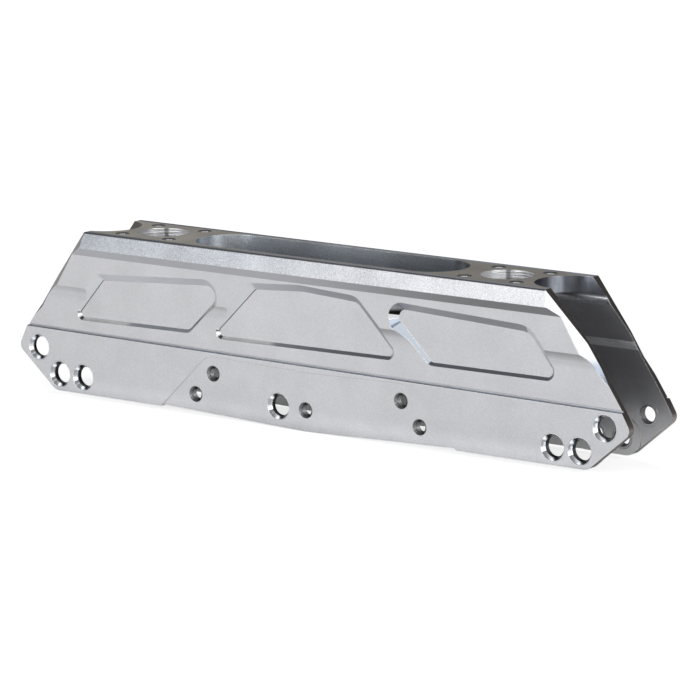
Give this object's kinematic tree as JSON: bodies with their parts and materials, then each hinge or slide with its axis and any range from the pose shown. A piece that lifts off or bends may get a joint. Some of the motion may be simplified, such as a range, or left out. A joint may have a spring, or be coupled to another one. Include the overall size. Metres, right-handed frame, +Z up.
{
  "type": "inline skate frame",
  "caption": "Machined aluminium channel frame for an inline skate, with axle seats and threads, boot mounting holes, side windows and a guard recess.",
  "frame": {"origin": "middle of the frame's outline in plan, at the height of the lowest point of its lower edge", "axes": "+X along the frame towards its rear end, +Y to its right side, +Z up towards the boot"},
  "size_m": [0.2916, 0.04, 0.0685],
  "materials": {
    "frame_aluminium": "fine blasted satin, with plain machined faces inside",
    "seat_steel": "turned and polished cones",
    "thread_steel": "plain threaded",
    "insert_steel": "turned countersinks"
  },
  "bodies": {
    "root": {"frame_body": "frame_aluminium", "axle_seat_front_upper": "seat_steel", "axle_seat_front_outer": "seat_steel", "axle_seat_front_inner": "seat_steel", "axle_seat_middle": "seat_steel", "axle_seat_rear_inner": "seat_steel", "axle_seat_rear_outer": "seat_steel", "axle_seat_rear_upper": "seat_steel", "axle_thread_front_upper": "thread_steel", "axle_thread_front_outer": "thread_steel", "axle_thread_front_inner": "thread_steel", "axle_thread_middle": "thread_steel", "axle_thread_rear_inner": "thread_steel", "axle_thread_rear_outer": "thread_steel", "axle_thread_rear_upper": "thread_steel", "guard_insert_left_front_low": "insert_steel", "guard_insert_left_front_high": "insert_steel", "guard_insert_left_middle": "insert_steel", "guard_insert_left_rear_high": "insert_steel", "guard_insert_left_rear_low": "insert_steel", "guard_insert_right_front_low": "insert_steel", "guard_insert_right_front_high": "insert_steel", "guard_insert_right_middle": "insert_steel", "guard_insert_right_rear_high": "insert_steel", "guard_insert_right_rear_low": "insert_steel", "mount_insert_front_1": "insert_steel", "mount_insert_front_2": "insert_steel", "mount_insert_front_3": "insert_steel", "mount_insert_front_4": "insert_steel", "mount_insert_rear_1": "insert_steel", "mount_insert_rear_2": "insert_steel", "mount_insert_rear_3": "insert_steel", "mount_insert_rear_4": "insert_steel"}
  },
  "joints": []
}
